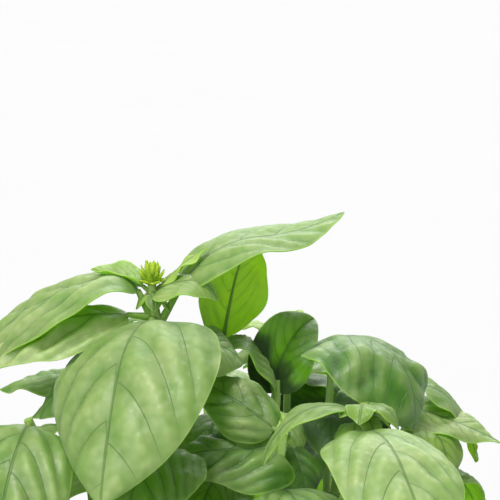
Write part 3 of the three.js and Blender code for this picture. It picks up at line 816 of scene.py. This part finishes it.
def grow_shoot(node, root, top, radius, leaves, seed):
    """One piece for that node: the stem, then a stalk for each leaf, and then the blades."""
    dice = random.Random(seed)
    bm = bmesh.new()
    layers = blade_layers(bm)
    add_stem(bm, root, top, radius, {leaf["at"] for leaf in leaves if leaf["length"] > SWELLING_LEAF})
    for leaf in leaves:
        base = stem_point(root, top, leaf["at"])
        steps = leaf_steps(blade_rows(leaf))
        add_stalk(bm, base, leaf, midrib(base, leaf, steps), steps)
    for leaf in leaves:
        add_blade(bm, layers, stem_point(root, top, leaf["at"]), leaf, dice)
    name = node.replace("shoot_", "leafy_")
    finish_piece(bm, name, [leaf_finish, stem_finish], node)


print("stem, stalks and blades are ready to grow")

# %% [markdown]
# ## The flowering shoot
# The tallest shoot stands left of the middle. It carries the broad front leaf, the long leaf that points
# up to the right, two arching leaves to the left, and small leaves in a collar under the flower head.

# %% Grow shoot_flowering
grow_shoot("shoot_flowering", root=(-16, -10), top=(-30, -8, 279), radius=2.4, seed=1, leaves=[
    leaf_at(277, -80, -30, 7, 6.5, stalk=2.4, bend=(30, 16), wave=0.2, tone=-0.2, young=0.1),
    leaf_at(276.5, -18, -30, 7.5, 5, stalk=3, bend=(30, 16), cup=20, wave=0.2, young=0.5),
    leaf_at(276.5, -155, -20, 7, 5, stalk=2.4, bend=(36, 16), cup=20, wave=0.2, young=0.4),
    leaf_at(276, -22, 34, 28, 20, stalk=1, bend=(30, 92), roll=20, cup=16, lobe=0.4, wave=0.8,
            quilt=0.7, tone=0.95, young=0.1),
    leaf_at(275.5, 172, 37, 20, 12, stalk=5, bend=(37, -20), roll=-16, cup=0, fold=38, wave=0.6,
            quilt=0.5, tone=0.9, young=0.15),
    leaf_at(275.5, 10, 48, 22, 8, stalk=4, bend=(10, 10), cup=20, young=0.5),
    # Painted light: this leaf's high tone makes it paler, to lift the part that lies in the shade of the
    # long leaf above it.
    leaf_at(267, 192, 8, 75, 35, stalk=10, bend=(34, 25), roll=-22, twist=30, cup=34, fold=-6,
            quilt=1.3, lumps=1.4, tone=1.5),
    leaf_at(266, -107, 12, 86, 67, stalk=5, bend=(60, 24), roll=12, sweep=-15, cup=42,
            shape=(0.8, 0.95), lobe=0.9, wave=1.2, quilt=0.5, lumps=0.4, pairs=4, tone=0.85),
    leaf_at(263, 180, 64, 86, 50, stalk=15, bend=(81, 38), knee=0.17, roll=-4, twist=-16, cup=18,
            shape=(0.7, 0.72), lobe=0.3, wave=1, quilt=0.6, lumps=0.8, pairs=5, tone=0.85),
    leaf_at(263, 8, 60, 70, 31, stalk=17, bend=(61, -25), roll=16, cup=8, fold=-2, wave=1, quilt=0.6,
            lumps=0.7, pairs=5, tone=0.65),
    leaf_at(254, -8, 28, 29, 36, stalk=6, bend=(50, 40), roll=20),
    leaf_at(252, 205, 15, 46, 34, roll=-10),
    leaf_at(244, 195, 20, 44, 26, stalk=10, bend=(50, 20), roll=-10, cup=30, fold=-15),
    leaf_at(238, 97, 15, 34, 22, bend=(40, 30), phase=2),
    leaf_at(218, -107, 24, 55, 44, bend=(60, 20)),
    leaf_at(196, -106, 15, 67, 46, stalk=10)])

# %% [markdown]
# ## The upright shoot
# Behind the flowering shoot one leaf stands nearly upright, so the light behind it shines through.

# %% Grow shoot_upright
grow_shoot("shoot_upright", root=(-2, 16), top=(-6, 26, 256), radius=2, seed=2, leaves=[
    leaf_at(250, -50, 76, 42, 30, stalk=2, bend=(0, 6), roll=-8, sweep=10, cup=20, shape=(0.75, 0.85),
            lumps=1.4, tone=0.4, young=0.25),
    leaf_at(240, 165, 15, 26, 20, stalk=4, bend=(40, 30)),
    leaf_at(226, 110, 30, 34, 39, stalk=6),
    leaf_at(222, -102, 20, 41, 32, stalk=4),
    leaf_at(198, -112, 20, 30, 34, stalk=5, bend=(60, 20))])

# %% [markdown]
# ## The centre shoot
# Its upright leaf is deep green, and painted shade makes it darker still towards its foot. The other top
# leaf arches to the left.

# %% Grow shoot_centre
grow_shoot("shoot_centre", root=(10, 6), top=(15, 15, 238), radius=2.2, seed=3, leaves=[
    leaf_at(231, 204, 88, 43, 27, stalk=2, bend=(46, 120), roll=-16, lumps=1.4, tone=0.35),
    # Painted shade: the foot of this leaf darkens it near its stalk.
    leaf_at(230, 84, 80, 36, 26, stalk=3, bend=(8, 56), sweep=-54, cup=12, fold=24, quilt=0.8, lumps=2,
            tone=0.1, foot=-1.5),
    leaf_at(227, -80, -5, 27, 20, stalk=3, bend=(66, 16), phase=1.4),
    # Painted shade: a tone below zero darkens this leaf.
    leaf_at(216, -62, 15, 32, 27, stalk=4, bend=(66, 20), tone=-0.5),
    leaf_at(180, -28, 15, 32, 22, stalk=6)])

# %% [markdown]
# ## The front right shoot
# It has the broad leaf in the right foreground. At its top is a tuft of young leaves, and seven of them are
# so tiny that they share most of their numbers.

# %% Grow shoot_front_right
TINY = dict(stalk=1, cup=22, wave=0.4, tone=0, young=0.22)
grow_shoot("shoot_front_right", root=(26, -10), top=(45, -28, 240), radius=2.2, seed=4, leaves=[
    leaf_at(239, -100, 40, 17, 12, stalk=1, bend=(50, 50), cup=30, tone=0.2, young=0.2),
    leaf_at(238, -22, 46, 17, 11.5, stalk=1.2, bend=(84, 40), cup=20, wave=0.4, tone=0, young=0.2),
    leaf_at(237, -140, 52, 12, 8, stalk=1.2, bend=(60, 40), cup=20, wave=0.4, tone=0, young=0.15),
    leaf_at(237, 60, 48, 10, 7, **TINY),
    leaf_at(236, 200, 31, 44, 12, stalk=4, bend=(62, 52), roll=-6, cup=16, wave=0.9, quilt=0.5,
            tone=0.7),
    leaf_at(236, -62, 8, 12, 9, bend=(50, 40), **TINY),
    leaf_at(235, 14, 28, 13, 8, bend=(60, 40), **TINY),
    leaf_at(234, -118, 4, 12, 8, bend=(50, 40), **TINY),
    leaf_at(233, -36, 2, 12, 9, bend=(50, 40), **TINY),
    leaf_at(232.5, -165, 18, 11, 8, bend=(50, 40), **TINY),
    leaf_at(231.5, -6, 2, 17, 10, bend=(30, 20), **TINY),
    leaf_at(229, -73, 25, 78, 47, stalk=4, bend=(52, 14), roll=-2, cup=30, shape=(0.6, 0.75), lobe=0.5,
            quilt=0.5, lumps=0.7, pairs=5, tone=1),
    leaf_at(196, -22, 15, 67, 49),
    leaf_at(172, 12, 10, 44, 32, bend=(40, 30), phase=0.7),
    leaf_at(160, -45, 15, 65, 44),
    leaf_at(132, -30, 20, 48, 34)])

# %% [markdown]
# ## The front centre shoot
# Two strongly quilted leaves at its top turn their upper sides to the viewer, half under the broad front
# leaf of the flowering shoot.

# %% Grow shoot_front_centre
grow_shoot("shoot_front_centre", root=(6, -24), top=(17, -18, 227), radius=2, seed=5, leaves=[
    leaf_at(227, 100, 50, 10, 8, stalk=2, bend=(30, 20), cup=30, young=0.8),
    leaf_at(226, 172, 38, 34, 25, stalk=4, bend=(14, 24), roll=-50, cup=35, quilt=1.6, lumps=2.4,
            pairs=4, tone=0.35),
    leaf_at(221, 186, 5, 36, 33, stalk=1, bend=(10, 20), roll=-38, cup=35, shape=(0.42, 0.8), lobe=0.9,
            quilt=1.7, lumps=2.6, pairs=4, tone=0.25),
    leaf_at(207, -68, 14, 48, 40, stalk=5, bend=(66, 20)),
    leaf_at(194, -112, 10, 70, 51, bend=(60, 20)),
    leaf_at(176, -150, 15, 44, 32, phase=2.5),
    leaf_at(158, -88, 10, 65, 46, bend=(60, 20)),
    leaf_at(130, -120, 20, 48, 34, bend=(50, 20))])

# %% [markdown]
# ## The front left shoot
# One broad leaf hangs down at the left edge of the picture, the others fill in round the pot.

# %% Grow shoot_front_left
grow_shoot("shoot_front_left", root=(-36, -14), top=(-72, -32, 236), radius=2, seed=6, leaves=[
    leaf_at(234.5, -95, 2, 76, 42, stalk=2, bend=(76, 8), roll=-8, shape=(0.5, 0.8), lobe=0.35,
            quilt=1.1, tone=0.6),
    leaf_at(232, 5, 20, 18, 12, stalk=2, bend=(30, 20), cup=30),
    leaf_at(206, 235, 15, 67, 49),
    leaf_at(202, 168, 15, 48, 44),
    leaf_at(186, 130, 15, 42, 30, phase=1.2),
    leaf_at(164, 205, 15, 65, 44),
    leaf_at(134, 236, 20, 48, 34)])

# %% [markdown]
# ## The left shoot
# It reaches out behind the front left shoot and closes the plant on that side.

# %% Grow shoot_left
grow_shoot("shoot_left", root=(-26, 18), top=(-46, 32, 258), radius=2, seed=7, leaves=[
    leaf_at(256, -20, 25, 18, 10, stalk=2, bend=(20, 20), cup=30),
    leaf_at(246, 75, 25, 44, 32, stalk=6, phase=1),
    leaf_at(232, 160, 10, 48, 32, stalk=10, bend=(20, 20), cup=30),
    leaf_at(222, 110, 20, 65, 46),
    leaf_at(196, 165, 15, 62, 44),
    leaf_at(180, 86, 15, 44, 32, phase=0.4),
    leaf_at(164, 135, 15, 60, 41),
    leaf_at(134, 165, 20, 48, 34)])

# %% [markdown]
# ## The back centre shoot
# It shows only as a few small bright leaves above the centre shoot, and fills the back.

# %% Grow shoot_back_centre
grow_shoot("shoot_back_centre", root=(18, 30), top=(20, 44, 254), radius=2, seed=8, leaves=[
    leaf_at(252, 60, 50, 10, 9, stalk=2, bend=(30, 30), cup=30, young=0.7),
    leaf_at(250, 190, 25, 20, 12, stalk=3, bend=(20, 20), cup=30, young=0.6),
    leaf_at(242, 162, 15, 30, 24, stalk=5),
    leaf_at(232, 85, 20, 60, 41, stalk=6),
    # Painted shade: a tone below zero darkens this leaf and the last one of the shoot.
    leaf_at(232, -8, 10, 34, 19, stalk=6, phase=1.5, tone=-0.5),
    leaf_at(212, -100, 20, 20, 24, stalk=5, bend=(60, 20)),
    leaf_at(204, -2, 20, 24, 32, stalk=6, tone=-0.5)])

# %% [markdown]
# ## The back left shoot
# This shoot isn't in the picture. It makes the bunch as full behind as it is in front.

# %% Grow shoot_back_left
grow_shoot("shoot_back_left", root=(-4, 40), top=(-14, 70, 224), radius=2, seed=9, leaves=[
    leaf_at(222, 95, 30, 32, 41, stalk=3, bend=(60, 30), quilt=0.8),
    leaf_at(220, 190, 20, 22, 18, stalk=3),
    leaf_at(206, 0, 15, 30, 24, stalk=5),
    leaf_at(186, 125, 15, 54.4, 41, quilt=0.5),
    leaf_at(180, 60, 15, 52.7, 39),
    leaf_at(140, 100, 20, 53, 37)])

# %% [markdown]
# ## The back right shoot
# The other shoot at the back, the same way.

# %% Grow shoot_back_right
grow_shoot("shoot_back_right", root=(29, 31), top=(46, 66, 220), radius=2, seed=10, leaves=[
    leaf_at(218, 50, 30, 42, 41, stalk=3, bend=(60, 30), tone=-0.2),
    # Painted shade: a tone below zero darkens this leaf.
    leaf_at(214, 186, 4, 28, 34, stalk=4, bend=(16, 16), roll=-52, cup=20, tone=-0.8),
    leaf_at(184, 85, 15, 46, 39),
    leaf_at(180, 15, 15, 53, 39),
    leaf_at(140, 50, 20, 53, 37)])

# %% [markdown]
# ## The inner right shoot
# It carries the large leaf that comes over the ridge at the right and hangs forward, with big lumps.

# %% Grow shoot_inner_right
grow_shoot("shoot_inner_right", root=(32, 12), top=(36, 24, 250), radius=2, seed=11, leaves=[
    leaf_at(250, -50, 29, 61, 64, stalk=4, bend=(56, 72), roll=-15, sweep=30, cup=44,
            shape=(0.6, 0.72), lobe=0.36, quilt=0.25, lumps=2.2, pairs=5, tone=-0.05),
    # Painted shade: tones below zero darken this leaf and the next, and a foot below zero darkens this one
    # more near its stalk.
    leaf_at(226, -90, 18, 32, 23, stalk=5, bend=(60, 26), tone=-0.6, foot=-0.5),
    leaf_at(222, 10, 6, 23, 27, stalk=4, bend=(16, 16), roll=44, cup=20, tone=-0.6),
    leaf_at(208, 10, 20, 20, 34, stalk=6),
    leaf_at(192, -70, 20, 28, 24, stalk=5, bend=(60, 20))])

# %% [markdown]
# ## The right shoot
# The last shoot leans far to the right, with its leaf ends hanging in the light.

# %% Grow shoot_right
grow_shoot("shoot_right", root=(38, 18), top=(71, 30, 234), radius=2, seed=12, leaves=[
    leaf_at(232.5, 14, -18, 23, 21, stalk=2, bend=(26, 4), roll=20, cup=14, lobe=0.4, wave=0.6,
            tone=0.6),
    leaf_at(224, -15, -15, 36, 27, stalk=1, bend=(4, 8), roll=14, cup=15, shape=(0.45, 1.3), lobe=0.9,
            quilt=1.2, lumps=1.4, tone=1.1),
    leaf_at(224, 95, 10, 32, 25, stalk=5),
    leaf_at(214, 14, 4, 24, 18, stalk=18, bend=(64, 30), roll=10, cup=20, tone=0.4, young=0.3),
    leaf_at(213, -48, 25, 32, 25, stalk=10, bend=(104, 12), cup=20, tone=0.4, young=0.3),
    leaf_at(196, 40, 15, 55, 41),
    leaf_at(158, -4, 15, 62, 41),
    leaf_at(134, 25, 20, 48, 34)])

# %% [markdown]
# ## The flower head
# On top of the flowering shoot sits the young flower head. Its bracts are leaves too, only a few
# millimetres long, so the blade function makes them, with no quilting and few faces. They stand in whorls
# on rings round a short axis, each whorl turned against the last. The lowest whorl is a collar that
# spreads wide, and the others rise more and more steeply round the middle.

# %% Whorls of bracts
def make_flower_head():
    """Five whorls of bracts round a short axis."""
    dice = random.Random(5)
    bm = bmesh.new()
    layers = blade_layers(bm)
    foot = Vector((-30, -8, 279))
    add_tube(bm, [foot + Vector((0, 0, z)) for z in (0.3, 1.6, 3.2, 4.6)], [1.6, 2.0, 1.7, 0.6], 10)
    # For each whorl its height, the radius of its ring, how many bracts it has, and their rise and size.
    whorls = [(0.4, 1.6, 9, 16, 3.6, 2.4), (0.9, 1.8, 9, 50, 5.2, 2.0), (1.6, 1.7, 9, 62, 6.0, 1.9),
              (2.4, 1.3, 7, 71, 6.1, 1.8), (2.9, 0.7, 5, 80, 5.7, 1.6)]
    for i, (height, ring, count, rise, length, width) in enumerate(whorls):
        for k in range(count):
            heading = 360 * (k + 0.5 * (i % 2)) / count + dice.uniform(-9, 9)
            seat = foot + Vector((ring * cos(radians(heading)), ring * sin(radians(heading)), height))
            bract = leaf_at(0, heading, rise + dice.uniform(-7, 7), length * dice.uniform(0.85, 1.0), width,
                            stalk=0.2, bend=(-8, -14), cup=-50, wave=0.05, quilt=0.0, lobe=0.0,
                            shape=(0.5, 1.0), young=1.0)
            add_blade(bm, layers, seat, bract, dice)
    finish_piece(bm, "flower_head", [bract_finish, stem_finish], "bud_head")


make_flower_head()

# %% [markdown]
# ## Studio
# The photograph was taken against white, in soft light. A large pale floor and a dim white world do the
# same, with three suns of a wide angle: a key from high up in front, a back light as strong, which makes
# the blades glow, and a low fill. They light the floor evenly however far it runs. Close to the pot the
# floor is coloured darker, a painted shade that throws less light up into the leaves, and within about
# half a metre it turns pale.

# %% Floor
FLOOR_RADIUS, DARK_UNTIL, PALE_FROM = 60.0, 0.10, 0.56  # metres from the pot's axis
# Painted shade: the floor is coloured darker round the pot, out to where it turns pale.
FLOOR_PAINTED_SHADE, FLOOR_PALE = (0.19, 0.19, 0.19), ((0.432, 0.433, 0.435), (0.437, 0.438, 0.439))


def make_floor_finish():
    new, tree, shader, spot = material("pale floor")
    clouds, _ = mottled(tree, spot, 2.0)
    reach = place(tree, "VectorMath", {0: spot}, operation="LENGTH").outputs["Value"]
    far = fade(tree, reach, DARK_UNTIL, PALE_FROM)
    colour = mix(tree, far, FLOOR_PAINTED_SHADE, mix(tree, clouds, *FLOOR_PALE))
    connect(tree, shader, {"Base Color": colour, "Roughness": 1.0, "Specular IOR Level": 0.0})
    return new


bm = bmesh.new()
bmesh.ops.create_circle(bm, cap_ends=True, segments=96, radius=FLOOR_RADIUS)
floor = make_object(bm, "floor", [make_floor_finish()])
floor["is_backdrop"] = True
print("floor radius", FLOOR_RADIUS, "m")

# %% World and lamps
def make_sun(name, strength, spread, heading, height, colour=(1, 1, 1)):
    """A sun that shines from that heading and height, in degrees."""
    lamp = bpy.data.lights.new(name, "SUN")
    lamp.energy, lamp.angle, lamp.color = strength, radians(spread), colour
    a, h = radians(heading), radians(height)
    towards = Vector((cos(h) * cos(a), cos(h) * sin(a), sin(h)))
    link_object(name, lamp).rotation_euler = towards.to_track_quat("Z", "Y").to_euler()


world = bpy.data.worlds.new("white studio")
world.use_nodes = True
background = world.node_tree.nodes["Background"]
background.inputs["Color"].default_value = (0.985, 0.990, 1.0, 1.0)
background.inputs["Strength"].default_value = 0.30
bpy.context.scene.world = world
make_sun("key", 3.4, 22, heading=-100, height=66, colour=(1.0, 0.995, 0.985))
make_sun("back light", 3.4, 50, heading=80, height=40)
make_sun("fill", 2.0, 50, heading=-125, height=25)
print("lamps: a key, a back light and a fill")

# %% [markdown]
# ## Camera
# A long lens stands a little above the leaves and looks at the upper part of the plant, as in the
# photograph, so the pot is out of sight.

# %% Camera
data = bpy.data.cameras.new("camera")
data.lens, data.sensor_width, data.clip_end = 120.0, 36.0, 200.0
camera = link_object("camera", data)
target, distance, elevation = Vector((0.005, 0, 0.290)), 0.600, radians(10)
camera.location = target + distance * Vector((0, -cos(elevation), sin(elevation)))
camera.rotation_euler = (camera.location - target).to_track_quat("Z", "Y").to_euler()
bpy.context.scene.camera = camera
bpy.context.scene.view_settings.view_transform = "Standard"
print("camera at", [round(value, 3) for value in camera.location])

# %% [markdown]
# ## Size
# The dressed plant must stay inside the box of its solids. Both boxes are gathered in metres and printed
# in millimetres.

# %% The sizes of both boxes
plant_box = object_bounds()
boxes = {"solids": [list(corner) for corner in solids_box],
         "dressed": [list(corner) for corner in plant_box]}
for title, (low, high) in boxes.items():
    print(title, [round(value / MM, 1) for value in low], [round(value / MM, 1) for value in high])
